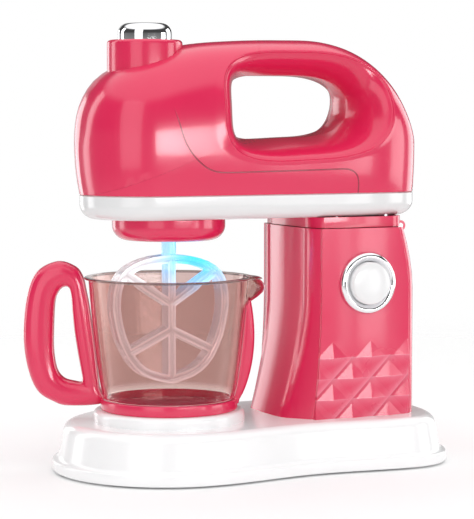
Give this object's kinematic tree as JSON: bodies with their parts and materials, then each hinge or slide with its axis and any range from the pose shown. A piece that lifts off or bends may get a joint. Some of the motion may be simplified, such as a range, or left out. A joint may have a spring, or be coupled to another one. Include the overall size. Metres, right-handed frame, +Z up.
{
  "type": "toy stand mixer",
  "caption": "Toy stand mixer with a tilting pink head, a geared turning beater, a clear handled bowl that lifts off a white base, and two push buttons.",
  "frame": {"origin": "on the table plane under the centre of the overall box, between the bowl and the column", "axes": "+Z up, +X from the bowl towards the column at the rear, and -Y is the side with the push button, which faces the picture's camera"},
  "size_m": [0.2295, 0.127, 0.2409],
  "materials": {
    "white_shell": "moulded, glossy white, the base, the bowl seat and the head's band",
    "white_under": "moulded, fine grain, the underside cover and battery door",
    "pink_shell": "moulded, glossy warm pink",
    "smoky_clear": "clear plastic with a smoky brown tint, the bowl",
    "milky_clear": "milky translucent plastic, the beater",
    "chrome_plated": "plated plastic, the top button and the ring round the side button",
    "white_button": "glossy white cap of the side button",
    "switch_black": "switch bodies",
    "foot_rubber": "soft grey pads under the base",
    "screw_steel": "cross-head self-tapping screws",
    "contact_steel": "plated spring strip in the battery bay",
    "cell_wrap": null,
    "pin_steel": "ground steel pin, axle and motor shaft",
    "wire_red": "insulated hook-up wire",
    "lens_clear": "clear lens of the light",
    "bulb_blue": "blue light-emitting bulb",
    "bush_grey": "bush that the drive shaft turns in",
    "gear_nylon": "natural nylon gears and drive shaft",
    "pinion_brass": "motor pinion",
    "plate_grey": "plate over the gears that carries the motor",
    "motor_can": "small direct-current motor's can",
    "spring_steel": "wound return spring of the top button"
  },
  "bodies": {
    "stand": {"base_shell": "white_shell", "base_cover": "white_under", "battery_door": "white_under", "door_screw": "screw_steel", "battery_cells": "cell_wrap", "battery_contacts": "contact_steel", "base_screws": "screw_steel", "feet": "foot_rubber", "bowl_seat": "white_shell", "column_near": "pink_shell", "column_far": "pink_shell", "column_screws": "screw_steel", "panel_near": "pink_shell", "panel_far": "pink_shell", "button_bezel": "chrome_plated", "side_switch": "switch_black", "hinge_pin": "pin_steel", "stand_wires": "wire_red"},
    "head": {"head_shell_near": "pink_shell", "head_shell_far": "pink_shell", "head_tray": "white_shell", "neck_collar": "pink_shell", "chuck_housing": "pink_shell", "light_lens": "lens_clear", "light_bulb": "bulb_blue", "drive_bush": "bush_grey", "idler_axle": "pin_steel", "gearbox_plate": "plate_grey", "motor": "motor_can", "switch_collar": "pink_shell", "top_switch": "switch_black", "button_spring": "spring_steel", "head_screws": "screw_steel", "tray_screws": "screw_steel", "head_wires": "wire_red"},
    "drive": {"drive_shaft": "gear_nylon", "drive_gear": "gear_nylon"},
    "beater": {"beater": "milky_clear"},
    "idler": {"idler_gear": "gear_nylon"},
    "pinion": {"motor_pinion": "pinion_brass", "motor_shaft": "pin_steel"},
    "top_button": {"top_button": "chrome_plated"},
    "side_button": {"side_button": "white_button"},
    "bowl": {"bowl_shell": "smoky_clear", "bowl_frame": "pink_shell"}
  },
  "joints": [
    {"name": "head_tilt", "type": "hinge", "parent": "stand", "child": "head", "pos_m": [0.08546, 0, 0.1309], "axis": [0, 1, 0], "range_deg": [0, 35]},
    {"name": "beater_spin", "type": "hinge", "parent": "head", "child": "drive", "pos_m": [-0.04244, 0, 0.1309], "axis": [0, 0, 1], "continuous": true},
    {"name": "beater_pull", "type": "slide", "parent": "drive", "child": "beater", "axis": [0, 0, -1], "range_m": [0, 0.008]},
    {"name": "idler_spin", "type": "hinge", "parent": "head", "child": "idler", "pos_m": [-0.06404, 0, 0.1562], "axis": [0, 0, 1], "continuous": true},
    {"name": "pinion_spin", "type": "hinge", "parent": "head", "child": "pinion", "pos_m": [-0.04244, 0, 0.1632], "axis": [0, 0, 1], "continuous": true},
    {"name": "top_button_press", "type": "slide", "parent": "head", "child": "top_button", "axis": [0, 0, -1], "range_m": [0, 0.003], "stiffness_N_per_m": 350, "springref_m": -0.002, "deforming": ["button_spring"]},
    {"name": "side_button_press", "type": "slide", "parent": "stand", "child": "side_button", "axis": [0, 1, 0], "range_m": [0, 0.0025], "stiffness_N_per_m": 300, "springref_m": -0.0015},
    {"name": "bowl_lift", "type": "slide", "parent": "stand", "child": "bowl", "axis": [0, 0, 1], "range_m": [0, 0.009]}
  ],
  "couplings": [
    {"joint": "idler_spin", "follows": "beater_spin", "ratio": -3},
    {"joint": "pinion_spin", "follows": "beater_spin", "ratio": 9}
  ]
}
